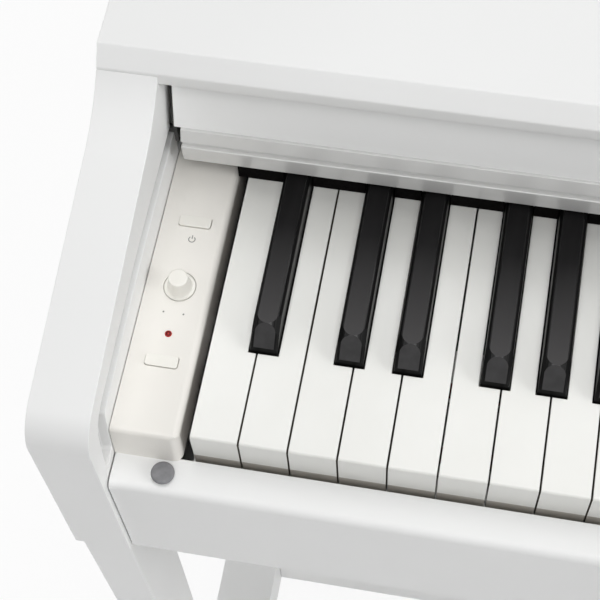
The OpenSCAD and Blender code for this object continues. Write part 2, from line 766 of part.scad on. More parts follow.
// Steel angles in the side pockets that carry the cover board
module cover_rails() {
    ledge_z = cover_top - cover_t - 0.3;
    x0 = -inner - pocket_d;
    profile = [[x0, ledge_z - 16], [x0 + 2.5, ledge_z - 16], [x0 + 2.5, ledge_z - 2.5],
               [20 - inner, ledge_z - 2.5], [20 - inner, ledge_z], [x0, ledge_z]];
    color("silver") both_sides() along_y(174, panel_y - 2) polygon(profile);
}

// ---- Sound and connections ----

// Boxes under the key bed, with bars across each mouth to guard the cone
module speaker_boxes() {
    z0 = -bed_drop - speaker_box.z;
    mid_y = speaker_y + speaker_box.y / 2;
    reach = speaker_r + 2;
    color("dimgray")
    both_sides()
        translate([-speaker_x, mid_y, 0]) {
            difference() {
                block([-speaker_box.x / 2, -speaker_box.y / 2, z0],
                      [speaker_box.x / 2, speaker_box.y / 2, -bed_drop]);
                block([wall - speaker_box.x / 2, wall - speaker_box.y / 2, z0 + wall],
                      [speaker_box.x / 2 - wall, speaker_box.y / 2 - wall, 1 - bed_drop]);
                translate([0, 0, z0 - 1]) cylinder(r = speaker_r, h = wall + 2);
            }
            for (k = [-2:2])
                block([k * grille_pitch - grille_t / 2, -reach, z0 + 0.5],
                      [k * grille_pitch + grille_t / 2, reach, z0 + 3.5]);
        }
}

// Drivers that face the floor: flange, cone, basket and magnet
module speakers() {
    flange = speaker_r + 8;
    cap_r = speaker_r / 3;
    magnet_r = 36;
    profile = [[0, 14], [cap_r - 6, 12], [cap_r, 13], [speaker_r - 6, 3], [speaker_r - 3, 4.5],
               [speaker_r - 1, 0], [flange, 0], [flange, 3], [speaker_r + 1, 3],
               [magnet_r, 26], [magnet_r, 44], [0, 44]];
    color("darkslategray")
    both_sides()
        translate([-speaker_x, speaker_y + speaker_box.y / 2, -bed_drop - speaker_box.z + wall])
            rotate_extrude() polygon(profile);
}

// Headphone jacks under the key bed, and the power inlet and line jacks at the back
module jack_boxes() {
    h_top = -bed_drop;
    color("#222222") {
        difference() {
            block([headphone_x - 35, 2, h_top - 26], [headphone_x + 35, 60, h_top]);
            for (x = [-17, 17]) rod_y(headphone_x + x, 1, 32, h_top - 13, jack_r);
        }
        difference() {
            block([jack_x - 62, panel_y - 35, jack_z - 22], [jack_x + 62, panel_y, jack_z + 22]);
            rod_y(jack_x - 38, panel_y - 13, panel_y + 1, jack_z, dc_r);
            for (x = [-10, 14]) rod_y(jack_x + x, panel_y - 31, panel_y + 1, jack_z, jack_r);
            block([jack_x + 32, panel_y - 16, jack_z - 5.5], [jack_x + 44.5, panel_y + 1, jack_z + 5.5]);
        }
    }
}

// ---- Pedals ----

// Folded crossbar between the feet, open at the back, with a slot for each pedal
module crossbar() {
    y1 = crossbar_y + crossbar_d;
    z1 = foot_z + 8 + crossbar_h;
    z0 = foot_z + 8;
    profile = [[crossbar_y, z0], [crossbar_y, z1], [y1, z1], [y1, z1 - 16],
               [crossbar_y + 16, z1 - 16], [crossbar_y + 16, z0 + 16], [y1, z0 + 16], [y1, z0]];
    color("whitesmoke")
    difference() {
        along_x(foot_in - inner, inner - foot_in) polygon(profile);
        for (k = [-1:1])
            block([k * pedal_pitch - pedal_slot / 2, crossbar_y - 1, pedal_z - 26],
                  [k * pedal_pitch + pedal_slot / 2, crossbar_y + 17, pedal_z + 12]);
    }
}

// Steel base with four ears, the pedal pin and a rubber stop under each pedal
module pedal_bracket() {
    base_z = foot_z + 24;
    color("silver") {
        block([-pedal_half - 14, crossbar_y + 40, base_z], [pedal_half + 14, pedal_pivot_y + 24, base_z + 3]);
        for (k = [-1.5:1:1.5])
            difference() {
                block([k * pedal_pitch - 1.5, pedal_pivot_y - 14, base_z + 2.5],
                      [k * pedal_pitch + 1.5, pedal_pivot_y + 14, pedal_z + 12]);
                rod_x(k * pedal_pitch - 3, k * pedal_pitch + 3, pedal_pivot_y, pedal_z, pedal_pin_r + 0.05);
            }
        rod_x(-pedal_half - 4, pedal_half + 4, pedal_pivot_y, pedal_z, pedal_pin_r);
        for (k = [-1:1])
            translate([k * pedal_pitch, crossbar_y + 80, base_z + 2.5])
                cylinder(r = 8, h = pedal_z - 9.8 - base_z - 2.5);
    }
}

// A pedal: cranked lever with a leaf-shaped toe, turning on the bracket's pin
module pedal(k) {
    toe = crossbar_y - 82;
    lever = [[toe, pedal_z - 8], [toe, pedal_z - 3], [toe + 8, pedal_z + 1], [toe + 40, pedal_z + 5],
             [crossbar_y + 20, pedal_z + 5], [pedal_pivot_y + 9, pedal_z + 8],
             [pedal_pivot_y + 9, pedal_z - 8], [crossbar_y + 60, pedal_z - 5],
             [crossbar_y, pedal_z - 5], [toe + 30, pedal_z - 5]];
    half = pedal_w / 2;
    neck = 9;
    plan = concat(arc([0, toe + half], half, 180, 360, 14),
                  [[half, toe + 34], [neck, toe + 64], [neck, pedal_pivot_y + 10],
                   [-neck, pedal_pivot_y + 10], [-neck, toe + 64], [-half, toe + 34]]);
    color("gold")
    translate([k * pedal_pitch, 0, 0])
    difference() {
        intersection() {
            along_x(-pedal_w, pedal_w) polygon(lever);
            translate([0, 0, pedal_z - 20]) linear_extrude(40) polygon(plan);
        }
        rod_x(-pedal_w, pedal_w, pedal_pivot_y, pedal_z, pedal_pin_r + rod_play);
    }
}

module pedal_soft() pedal(-1);

module pedal_sostenuto() pedal(0);

module pedal_damper() pedal(1);

// ---- Music rest ----

module music_rest() {
    r = rest_t / 2;
    profile = concat(arc([rest_axis_y, rest_axis_z], r, 90, 270, 12),
                     [[rest_axis_y + rest_len - 3, rest_axis_z - r],
                      [rest_axis_y + rest_len, rest_axis_z - r + 3],
                      [rest_axis_y + rest_len, rest_axis_z + r - 3],
                      [rest_axis_y + rest_len - 3, rest_axis_z + r]]);
    color("whitesmoke")
    difference() {
        along_x(-rest_w / 2, rest_w / 2) polygon(profile);
        for (x = [-rest_hinge_x, rest_hinge_x]) {
            block([x - knuckle_w / 2 - 0.6, rest_axis_y - r - 1, rest_axis_z - r - 1],
                  [x + knuckle_w / 2 + 0.6, rest_axis_y + r + 3, rest_axis_z + r + 1]);
            rod_x(x - 24, x + 24, rest_axis_y, rest_axis_z, rest_pin_r + rod_play);
        }
    }
}

// Ledge that the sheets stand on, with the hinge knuckles and pins of the rest
module rest_ledge() {
    y1 = rest_axis_y - rest_t / 2 - 1;
    lip = [[ledge_y, top_z], [ledge_y, top_z + 5], [ledge_y + 1, top_z + 6], [ledge_y + 4, top_z + 6],
           [ledge_y + 5, top_z + 5], [ledge_y + 5, top_z + 2], [y1, top_z + 2], [y1, top_z]];
    color("silver") {
        along_x(-rest_w / 2, rest_w / 2) polygon(lip);
        for (x = [-rest_hinge_x, rest_hinge_x]) {
            difference() {
                block([x - knuckle_w / 2, y1 - 1, top_z],
                      [x + knuckle_w / 2, rest_axis_y + 5, rest_axis_z + 4.5]);
                rod_x(x - knuckle_w, x + knuckle_w, rest_axis_y, rest_axis_z, rest_pin_r + 0.05);
            }
            rod_x(x - 22, x + 22, rest_axis_y, rest_axis_z, rest_pin_r);
        }
    }
}

// Bolts that hold the action frame to the key bed, and screws of the back panel
module fasteners() {
    color("silver")
    for (x = bolt_x) {
        for (y = bolt_y) {
            translate([x, y, -bed_drop - 3]) cylinder(r = 2.5 * bolt_r, h = 3);
            translate([x, y, -bed_drop - 0.5]) cylinder(r = bolt_r, h = board_t + sheet + 2);
        }
        rod_y(x, panel_y - 26, panel_back + 0.5, bed_z - board_t / 2, screw_r);
        rod_y(x, panel_back, panel_back + 2.2, bed_z - board_t / 2, 2.5 * screw_r);
    }
}

at_keys() side_left();
at_keys() side_right();
at_keys() leg_stands();
at_keys() glides();
at_keys() top_board();
at_keys() back_panel();
at_keys() key_bed();
at_keys() key_slip();
at_keys() key_blocks();
at_keys() slip_bumpers();
at_keys() key_felt();
at_keys() key_cover();
at_keys() cover_handle();
at_keys() cover_guides();
at_keys() cover_rails();
at_keys() power_button();
at_keys() volume_knob();
at_keys() function_button();
at_keys() status_led();
at_keys() circuit_boards();
at_keys() action_frame();
at_keys() action_felts();
at_keys() speaker_boxes();
at_keys() speakers();
at_keys() jack_boxes();
at_keys() crossbar();
at_keys() pedal_bracket();
at_keys() pedal_soft();
at_keys() pedal_sostenuto();
at_keys() pedal_damper();
at_keys() music_rest();
at_keys() rest_ledge();
at_keys() fasteners();
at_keys() upper_white_keys();
at_keys() upper_black_keys();
at_keys() upper_hammers();
for (n = [0:len(low_keys) - 1]) {
    at_keys() low_key(n);
    at_keys() hammer(low_x(n));
}
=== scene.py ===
import json
import math

import bmesh
import bpy
from mathutils import Matrix, Vector


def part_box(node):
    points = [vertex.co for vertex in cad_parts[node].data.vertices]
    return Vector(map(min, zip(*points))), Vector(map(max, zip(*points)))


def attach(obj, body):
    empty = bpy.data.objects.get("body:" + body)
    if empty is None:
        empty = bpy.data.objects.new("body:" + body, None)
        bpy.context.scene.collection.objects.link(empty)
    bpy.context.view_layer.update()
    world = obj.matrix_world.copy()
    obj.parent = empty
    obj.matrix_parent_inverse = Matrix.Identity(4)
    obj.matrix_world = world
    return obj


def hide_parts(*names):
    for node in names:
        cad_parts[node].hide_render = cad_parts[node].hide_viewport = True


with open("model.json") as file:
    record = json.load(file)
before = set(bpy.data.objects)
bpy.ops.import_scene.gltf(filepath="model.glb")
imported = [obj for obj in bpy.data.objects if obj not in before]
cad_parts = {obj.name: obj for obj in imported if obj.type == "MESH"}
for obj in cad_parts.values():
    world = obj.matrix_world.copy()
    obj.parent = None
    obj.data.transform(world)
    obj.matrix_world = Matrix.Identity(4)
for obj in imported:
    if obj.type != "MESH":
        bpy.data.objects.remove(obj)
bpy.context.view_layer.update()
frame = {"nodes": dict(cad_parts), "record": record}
print("frame loaded:", len(frame["nodes"]), "nodes")

mm = 0.001
record = frame["record"]
slotOf = {part["node"]: part["material_slot"] for part in record["subparts"]}
bodyOf = {node: body for body, nodes in record["behaviour"]["bodies"].items() for node in nodes}

noiseLook = {"cloudDetail": 3, "grainDetail": 4, "tintFrom": 0.35, "tintTo": 0.65}


# A principled material whose colour, roughness and relief all vary a little over Object coordinates
def grainyMaterial(name, look):
    material = bpy.data.materials.new(name)
    material.use_nodes = True
    nodes = material.node_tree.nodes
    link = material.node_tree.links.new
    shader = nodes["Principled BSDF"]
    for socket, value in look.get("shader", {}).items():
        shader.inputs[socket].default_value = value
    place = nodes.new("ShaderNodeTexCoord")
    stretch = nodes.new("ShaderNodeMapping")
    stretch.inputs["Scale"].default_value = look.get("stretch", (1, 1, 1))
    link(place.outputs["Object"], stretch.inputs["Vector"])

    clouds = nodes.new("ShaderNodeTexNoise")
    clouds.inputs["Scale"].default_value = look["cloudScale"]
    clouds.inputs["Detail"].default_value = noiseLook["cloudDetail"]
    link(stretch.outputs["Vector"], clouds.inputs["Vector"])
    tint = nodes.new("ShaderNodeValToRGB")
    tint.color_ramp.elements[0].position = noiseLook["tintFrom"]
    tint.color_ramp.elements[1].position = noiseLook["tintTo"]
    tint.color_ramp.elements[0].color = (*look["darker"], 1)
    tint.color_ramp.elements[1].color = (*look["lighter"], 1)
    link(clouds.outputs["Fac"], tint.inputs["Fac"])
    link(tint.outputs["Color"], shader.inputs["Base Color"])

    grain = nodes.new("ShaderNodeTexNoise")
    grain.inputs["Scale"].default_value = look["grainScale"]
    grain.inputs["Detail"].default_value = noiseLook["grainDetail"]
    link(stretch.outputs["Vector"], grain.inputs["Vector"])
    gloss = nodes.new("ShaderNodeMapRange")
    gloss.inputs["To Min"].default_value = look["roughness"][0]
    gloss.inputs["To Max"].default_value = look["roughness"][1]
    link(grain.outputs["Fac"], gloss.inputs["Value"])
    link(gloss.outputs["Result"], shader.inputs["Roughness"])
    relief = nodes.new("ShaderNodeBump")
    relief.inputs["Strength"].default_value = look["reliefStrength"]
    relief.inputs["Distance"].default_value = look["reliefDepth"]
    link(grain.outputs["Fac"], relief.inputs["Height"])
    link(relief.outputs["Normal"], shader.inputs["Normal"])
    return material


# Satin foil over board: nearly even white with a faint orange peel
def makeCaseFoil():
    return grainyMaterial("caseFoil", {
        "darker": (0.860, 0.863, 0.858), "lighter": (0.880, 0.883, 0.878),
        "cloudScale": 6, "grainScale": 420, "roughness": (0.42, 0.5),
        "reliefStrength": 0.05, "reliefDepth": 0.05 * mm})


# Painted shade on the floor of the guide grooves: a darker, duller grey than the foil
def makeGrooveShade():
    return grainyMaterial("grooveShade", {
        "darker": (0.60, 0.60, 0.595), "lighter": (0.66, 0.66, 0.655),
        "cloudScale": 30, "grainScale": 500, "roughness": (0.5, 0.6),
        "reliefStrength": 0.1, "reliefDepth": 0.05 * mm})


# Plain grey-white hardboard of the back
def makeBackBoard():
    return grainyMaterial("backBoard", {
        "darker": (0.655, 0.655, 0.635), "lighter": (0.68, 0.68, 0.66),
        "cloudScale": 45, "grainScale": 700, "roughness": (0.5, 0.65),
        "reliefStrength": 0.25, "reliefDepth": 0.08 * mm})


def makeBlackBoard():
    return grainyMaterial("blackBoard", {
        "darker": (0.022, 0.022, 0.022), "lighter": (0.04, 0.04, 0.04),
        "cloudScale": 60, "grainScale": 900, "roughness": (0.55, 0.75),
        "reliefStrength": 0.4, "reliefDepth": 0.1 * mm})


def makeBlockPlastic():
    return grainyMaterial("blockPlastic", {
        "darker": (0.800, 0.780, 0.735), "lighter": (0.830, 0.808, 0.765),
        "cloudScale": 18, "grainScale": 900, "roughness": (0.4, 0.52),
        "reliefStrength": 0.06, "reliefDepth": 0.03 * mm})


def makeButtonPlastic():
    return grainyMaterial("buttonPlastic", {
        "darker": (0.790, 0.775, 0.720), "lighter": (0.815, 0.800, 0.750),
        "cloudScale": 90, "grainScale": 3200, "roughness": (0.28, 0.36),
        "reliefStrength": 0.1, "reliefDepth": 0.02 * mm})


# Lacquered handle of the key cover
def makeHandleGloss():
    return grainyMaterial("handleGloss", {
        "darker": (0.63, 0.63, 0.62), "lighter": (0.66, 0.66, 0.65),
        "cloudScale": 9, "grainScale": 260, "roughness": (0.16, 0.22),
        "reliefStrength": 0.04, "reliefDepth": 0.1 * mm,
        "shader": {"Coat Weight": 0.7, "Coat Roughness": 0.13}})


def makeWhiteKeyPlastic():
    return grainyMaterial("whiteKeyPlastic", {
        "darker": (0.835, 0.835, 0.800), "lighter": (0.86, 0.86, 0.828),
        "cloudScale": 25, "grainScale": 500, "roughness": (0.275, 0.29),
        "reliefStrength": 0.02, "reliefDepth": 0.02 * mm})


# The white keys' sides and backs below the moulded cap: dark wood brown, darkened further as painted shade
# so that the gaps between the keys read dark
def makeKeyWoodAndGapShade():
    return grainyMaterial("keyWoodAndGapShade", {
        "darker": (0.13, 0.108, 0.08), "lighter": (0.18, 0.152, 0.114), "stretch": (6, 0.35, 6),
        "cloudScale": 60, "grainScale": 260, "roughness": (0.6, 0.75),
        "reliefStrength": 0.2, "reliefDepth": 0.05 * mm})


# Painted shade: a darker warm grey strip at the foot of each white key's front, below the skirt, where the
# slip shades it
def makeKeySkirtShade():
    return grainyMaterial("keyEnd", {
        "darker": (0.43, 0.405, 0.365), "lighter": (0.48, 0.45, 0.41), "stretch": (0.4, 6, 6),
        "cloudScale": 60, "grainScale": 260, "roughness": (0.6, 0.75),
        "reliefStrength": 0.2, "reliefDepth": 0.05 * mm})


# Painted reflection on the black key tops: how far from the felt it begins, how far from the tips it is
# full, and its colour
paintedReflectionLook = {"fromFelt": 30 * mm, "fromTip": 12 * mm, "paintedReflection": (0.057, 0.0553, 0.056)}


# Black key tops are deep black at the felt and greyer towards the tips, a painted reflection of the lamps
def makeBlackKeyTop():
    material = grainyMaterial("blackKeyTop", {
        "darker": (0.003, 0.0028, 0.003), "lighter": (0.006, 0.0057, 0.006),
        "cloudScale": 160, "grainScale": 2800, "roughness": (0.45, 0.6),
        "reliefStrength": 0.3, "reliefDepth": 0.02 * mm, "stretch": (1, 0.12, 1),
        "shader": {"Specular IOR Level": 0.1}})
    nodes = material.node_tree.nodes
    link = material.node_tree.links.new
    shader = nodes["Principled BSDF"]
    place = nodes.new("ShaderNodeTexCoord")
    parts = nodes.new("ShaderNodeSeparateXYZ")
    link(place.outputs["Object"], parts.inputs["Vector"])
    # Painted reflection: the top's colour is mixed towards a grey from the felt to the tips
    reflectionRamp = nodes.new("ShaderNodeMapRange")
    reflectionRamp.inputs["From Min"].default_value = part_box("key_felt")[0].y - paintedReflectionLook["fromFelt"]
    reflectionRamp.inputs["From Max"].default_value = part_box("key_as0")[0].y + paintedReflectionLook["fromTip"]
    link(parts.outputs["Y"], reflectionRamp.inputs["Value"])
    paintedReflection = nodes.new("ShaderNodeMix")
    paintedReflection.data_type = "RGBA"
    paintedReflection.inputs["B"].default_value = (*paintedReflectionLook["paintedReflection"], 1)
    link(reflectionRamp.outputs["Result"], paintedReflection.inputs["Factor"])
    tint = shader.inputs["Base Color"].links[0].from_socket
    link(tint, paintedReflection.inputs["A"])
    link(paintedReflection.outputs["Result"], shader.inputs["Base Color"])
    return material


# Painted light: a lighter grey copy of the black key plastic for the sloped front tips
def makeBlackKeyTipPaintedLight():
    return grainyMaterial("blackKeyTipPaintedLight", {
        "darker": (0.018, 0.0175, 0.018), "lighter": (0.028, 0.027, 0.028),
        "cloudScale": 160, "grainScale": 2800, "roughness": (0.36, 0.46),
        "reliefStrength": 0.4, "reliefDepth": 0.03 * mm, "shader": {"Specular IOR Level": 0.25}})


def makeBlackKeyFlank():
    return grainyMaterial("blackKeyFlank", {
        "darker": (0.003, 0.003, 0.0032), "lighter": (0.006, 0.006, 0.0063),
        "cloudScale": 40, "grainScale": 1200, "roughness": (0.14, 0.2),
        "reliefStrength": 0.05, "reliefDepth": 0.02 * mm, "shader": {"Specular IOR Level": 0.3}})


# Painted shade: a darker, less reflective copy of the black key plastic for the lower sides
def makeBlackKeyFootShade():
    return grainyMaterial("blackKeyFootShade", {
        "darker": (0.002, 0.002, 0.002), "lighter": (0.004, 0.004, 0.004),
        "cloudScale": 60, "grainScale": 1500, "roughness": (0.3, 0.4),
        "reliefStrength": 0.1, "reliefDepth": 0.02 * mm, "shader": {"Specular IOR Level": 0.08}})


def makeGreyRubber():
    return grainyMaterial("greyRubber", {
        "darker": (0.19, 0.19, 0.2), "lighter": (0.235, 0.235, 0.245),
        "cloudScale": 300, "grainScale": 2400, "roughness": (0.6, 0.78),
        "reliefStrength": 0.4, "reliefDepth": 0.05 * mm})


def makeBlackRubber():
    return grainyMaterial("blackRubber", {
        "darker": (0.018, 0.018, 0.018), "lighter": (0.035, 0.035, 0.035),
        "cloudScale": 120, "grainScale": 1600, "roughness": (0.62, 0.8),
        "reliefStrength": 0.4, "reliefDepth": 0.08 * mm})


def makeFelt(name, darker, lighter):
    return grainyMaterial(name, {
        "darker": darker, "lighter": lighter,
        "cloudScale": 500, "grainScale": 1900, "roughness": (0.9, 1.0),
        "reliefStrength": 1.0, "reliefDepth": 0.3 * mm,
        "shader": {"Specular IOR Level": 0.05}})


def makeSheetSteel(name, darker, lighter, stretch):
    return grainyMaterial(name, {
        "darker": darker, "lighter": lighter,
        "cloudScale": 40, "grainScale": 900, "roughness": (0.25, 0.42), "stretch": stretch,
        "reliefStrength": 0.12, "reliefDepth": 0.03 * mm, "shader": {"Metallic": 1.0}})


def makeDarkSteel():
    return grainyMaterial("darkSteel", {
        "darker": (0.025, 0.025, 0.025), "lighter": (0.04, 0.04, 0.04),
        "cloudScale": 80, "grainScale": 1500, "roughness": (0.4, 0.55),
        "reliefStrength": 0.3, "reliefDepth": 0.04 * mm})


def makeLampLens():
    return grainyMaterial("lampLens", {
        "darker": (0.40, 0.012, 0.010), "lighter": (0.50, 0.018, 0.014),
        "cloudScale": 900, "grainScale": 4000, "roughness": (0.3, 0.38),
        "reliefStrength": 0.05, "reliefDepth": 0.02 * mm, "shader": {"Specular IOR Level": 0.2}})


def makeLampShade():
    return grainyMaterial("lampShade", {
        "darker": (0.09, 0.005, 0.005), "lighter": (0.13, 0.008, 0.007),
        "cloudScale": 900, "grainScale": 4000, "roughness": (0.3, 0.38),
        "reliefStrength": 0.05, "reliefDepth": 0.02 * mm, "shader": {"Specular IOR Level": 0.2}})


def makeBoardLaminate():
    return grainyMaterial("boardLaminate", {
        "darker": (0.012, 0.075, 0.03), "lighter": (0.02, 0.11, 0.045),
        "cloudScale": 200, "grainScale": 1200, "roughness": (0.3, 0.45),
        "reliefStrength": 0.3, "reliefDepth": 0.05 * mm})


def makeSpeakerPaper():
    return grainyMaterial("speakerPaper", {
        "darker": (0.018, 0.018, 0.019), "lighter": (0.034, 0.034, 0.035),
        "cloudScale": 150, "grainScale": 1100, "roughness": (0.6, 0.8),
        "reliefStrength": 0.7, "reliefDepth": 0.15 * mm})


def makeBlackPlastic():
    return grainyMaterial("blackPlastic", {
        "darker": (0.018, 0.018, 0.018), "lighter": (0.03, 0.03, 0.03),
        "cloudScale": 90, "grainScale": 2400, "roughness": (0.42, 0.55),
        "reliefStrength": 0.3, "reliefDepth": 0.05 * mm})


def makePedalBrass():
    return grainyMaterial("pedalBrass", {
        "darker": (0.72, 0.50, 0.19), "lighter": (0.80, 0.58, 0.25), "stretch": (4, 0.4, 4),
        "cloudScale": 60, "grainScale": 500, "roughness": (0.12, 0.24),
        "reliefStrength": 0.05, "reliefDepth": 0.03 * mm, "shader": {"Metallic": 1.0}})


def makeRestMetal():
    return grainyMaterial("restMetal", {
        "darker": (0.62, 0.62, 0.61), "lighter": (0.70, 0.70, 0.69), "stretch": (0.1, 4, 4),
        "cloudScale": 50, "grainScale": 900, "roughness": (0.28, 0.4),
        "reliefStrength": 0.1, "reliefDepth": 0.03 * mm, "shader": {"Metallic": 1.0}})


def makeHammerPlastic():
    return grainyMaterial("hammerPlastic", {
        "darker": (0.04, 0.042, 0.046), "lighter": (0.06, 0.063, 0.068),
        "cloudScale": 100, "grainScale": 1500, "roughness": (0.45, 0.6),
        "reliefStrength": 0.3, "reliefDepth": 0.05 * mm})


def makePrintInk():
    return grainyMaterial("printInk", {
        "darker": (0.20, 0.20, 0.19), "lighter": (0.26, 0.26, 0.25),
        "cloudScale": 1200, "grainScale": 4000, "roughness": (0.5, 0.6),
        "reliefStrength": 0.1, "reliefDepth": 0.01 * mm})


finish = {
    "case_board": makeCaseFoil(),
    "back_board": makeBackBoard(),
    "black_board": makeBlackBoard(),
    "block_plastic": makeBlockPlastic(),
    "button_plastic": makeButtonPlastic(),
    "handle_gloss": makeHandleGloss(),
    "key_white": makeWhiteKeyPlastic(),
    "key_black": makeBlackKeyFlank(),
    "bumper_rubber": makeGreyRubber(),
    "glide_rubber": makeBlackRubber(),
    "black_felt": makeFelt("blackFelt", (0.002, 0.0018, 0.0018), (0.005, 0.0042, 0.0042)),
    "red_felt": makeFelt("redFelt", (0.16, 0.01, 0.01), (0.24, 0.018, 0.018)),
    "dark_steel": makeDarkSteel(),
    "zinc_steel": makeSheetSteel("zincSteel", (0.50, 0.50, 0.48), (0.60, 0.60, 0.58), (1, 1, 1)),
    "screw_steel": makeSheetSteel("screwSteel", (0.42, 0.42, 0.42), (0.52, 0.52, 0.52), (3, 3, 3)),
    "led_lens": makeLampLens(),
    "board_laminate": makeBoardLaminate(),
    "speaker_cone": makeSpeakerPaper(),
    "black_plastic": makeBlackPlastic(),
    "pedal_brass": makePedalBrass(),
    "rest_metal": makeRestMetal(),
    "hammer_weight": makeHammerPlastic(),
}
# Second finishes, for parts of a piece that its record slot doesn't name
detailFinish = {
    "blackKeyTop": makeBlackKeyTop(),
    "blackKeyTipPaintedLight": makeBlackKeyTipPaintedLight(),
    "blackKeyFootShade": makeBlackKeyFootShade(),
    "printInk": makePrintInk(),
    "keyWoodAndGapShade": makeKeyWoodAndGapShade(),
    "keyEnd": makeKeySkirtShade(),
    "lampShade": makeLampShade(),
    "grooveShade": makeGrooveShade(),
}
print("materials made:", len(finish) + len(detailFinish))

mesher = {"mergeDistance": 0.002 * mm, "pointMerge": 0.001 * mm, "near": 0.1 * mm,
          "flatAngle": math.radians(0.6), "creaseAngle": math.radians(32)}


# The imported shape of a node, with its loose triangles joined into flat faces
def copyNode(node):
    bm = bmesh.new()
    bm.from_mesh(frame["nodes"][node].data)
    bmesh.ops.remove_doubles(bm, verts=bm.verts[:], dist=mesher["mergeDistance"])
    bmesh.ops.dissolve_limit(bm, angle_limit=mesher["flatAngle"], verts=bm.verts[:], edges=bm.edges[:],
                             use_dissolve_boundaries=False)
    return bm


# Rounds every sharp edge whose middle passes the test
def roundEdges(bm, width, segments, passes=lambda middle: True, angle=mesher["creaseAngle"]):
    sharp = [edge for edge in bm.edges
             if len(edge.link_faces) == 2 and edge.calc_face_angle() > angle
             and passes((edge.verts[0].co + edge.verts[1].co) / 2)]
    if sharp:
        bmesh.ops.bevel(bm, geom=sharp, offset=width, offset_type="OFFSET", segments=segments, profile=0.5,
                        affect="EDGES", clamp_overlap=True, material=-1)


# Adds an edge loop at a height, without taking anything away
def cutAt(bm, height):
    bmesh.ops.bisect_plane(bm, geom=bm.verts[:] + bm.edges[:] + bm.faces[:], dist=mesher["pointMerge"],
                           plane_co=(0, 0, height), plane_no=(0, 0, 1))


# Turns a bmesh into a smooth-shaded piece that rides with the body of its node
def addPiece(bm, name, node, materials=None, replace=True):
    mesh = bpy.data.meshes.new(name)
    bm.to_mesh(mesh)
    bm.free()
    for material in materials or [finish[slotOf[node]]]:
        mesh.materials.append(material)
    mesh.shade_smooth()
    mesh.set_sharp_from_angle(angle=mesher["creaseAngle"])
    piece = bpy.data.objects.new(name, mesh)
    bpy.context.scene.collection.objects.link(piece)
    weighted = piece.modifiers.new("evenShading", "WEIGHTED_NORMAL")
    weighted.keep_sharp = True
    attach(piece, bodyOf[node])
    if replace:
        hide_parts(node)


# Stands in for a node whose only change is its rounded edges
def softenNode(node, name, width, segments=2):
    bm = copyNode(node)
    roundEdges(bm, width, segments)
    addPiece(bm, name, node)


# Names of the pieces and the width of their edges in millimetres
softBoards = {
    "leg_stands": ("legStands", 1.2), "back_panel": ("backPanel", 0.5), "key_bed": ("keyBed", 0.5),
    "key_slip": ("keySlip", 0.7), "crossbar": ("pedalCrossbar", 1.2), "key_cover": ("keyCover", 0.35),
    "music_rest": ("musicRest", 1.0), "rest_ledge": ("restLedge", 0.3),
    "speaker_boxes": ("speakerBoxes", 0.8), "jack_boxes": ("jackBoxes", 0.6), "glides": ("glides", 0.8),
    "slip_bumpers": ("slipBumpers", 0.25), "pedal_bracket": ("pedalBracket", 0.3),
    "pedal_soft": ("softPedal", 1.2), "pedal_sostenuto": ("sostenutoPedal", 1.2),
    "pedal_damper": ("damperPedal", 1.2), "cover_guides": ("coverGuides", 0.2),
}
for node, (name, width) in softBoards.items():
    softenNode(node, name, width * mm)
print("boards and stand softened:", len(softBoards))

topLook = {"edge": 0.8 * mm, "lipRound": 2.6 * mm, "lipSteps": 6}


# The board on top, with its lower front edge turned well round
def makeTopBoard():
    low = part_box("top_board")[0]
    near = mesher["near"]
    bm = copyNode("top_board")
    roundEdges(bm, topLook["lipRound"], topLook["lipSteps"],
               lambda middle: middle.y < low.y + near and middle.z < low.z + near and abs(middle.x) < near)
    roundEdges(bm, topLook["edge"], 2)
    addPiece(bm, "topBoard", "top_board")


handleLook = {"edge": 0.35 * mm, "noseFoot": 9 * mm, "noseDeep": 2.6 * mm, "lean": math.radians(6),
              "crease": 0.25 * mm, "creaseAngle": math.radians(4)}


# The cover's handle, whose nose leans back a little below its crease
def makeHandle():
    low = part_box("cover_handle")[0]
    crease = low.z + handleLook["noseFoot"]
    near = mesher["near"]
    bm = copyNode("cover_handle")
    cutAt(bm, crease)
    for vert in bm.verts:
        if vert.co.z < crease and vert.co.y < low.y + handleLook["noseDeep"]:
            vert.co.y += (crease - vert.co.z) * math.tan(handleLook["lean"])
    roundEdges(bm, handleLook["crease"], 2,
               lambda middle: abs(middle.z - crease) < near and middle.y < low.y + near,
               handleLook["creaseAngle"])
    roundEdges(bm, handleLook["edge"], 2)
    addPiece(bm, "coverHandle", "cover_handle")


makeTopBoard()
makeHandle()

sideLook = {"edge": 0.9 * mm, "grooveDeep": 5 * mm, "play": 0.2 * mm, "inward": 0.99}


# A side of the case, with painted shade on the floor of the guide groove in its inner face
def makeSide(node, name):
    low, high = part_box(node)
    towardsKeys = 1 if high.x < 0 else -1
    inner = high.x if towardsKeys > 0 else low.x
    bm = copyNode(node)
    roundEdges(bm, sideLook["edge"], 2)
    # Faces on the floor of the groove get the painted shade
    for face in bm.faces:
        depth = (inner - face.calc_center_median().x) * towardsKeys
        inward = face.normal.x * towardsKeys > sideLook["inward"]
        face.material_index = 1 if inward and abs(depth - sideLook["grooveDeep"]) < sideLook["play"] else 0
    addPiece(bm, name, node, [finish["case_board"], detailFinish["grooveShade"]])


makeSide("side_left", "leftSide")
makeSide("side_right", "rightSide")

keyLook = {"whiteEdge": 0.35 * mm, "whiteReach": 5 * mm, "capDepth": 1.3 * mm, "skirt": 22 * mm,
           "frontFacing": -0.5, "blackEdge": 0.22 * mm, "blackReach": 2 * mm,
           "blackAngle": math.radians(14), "seen": 10 * mm}
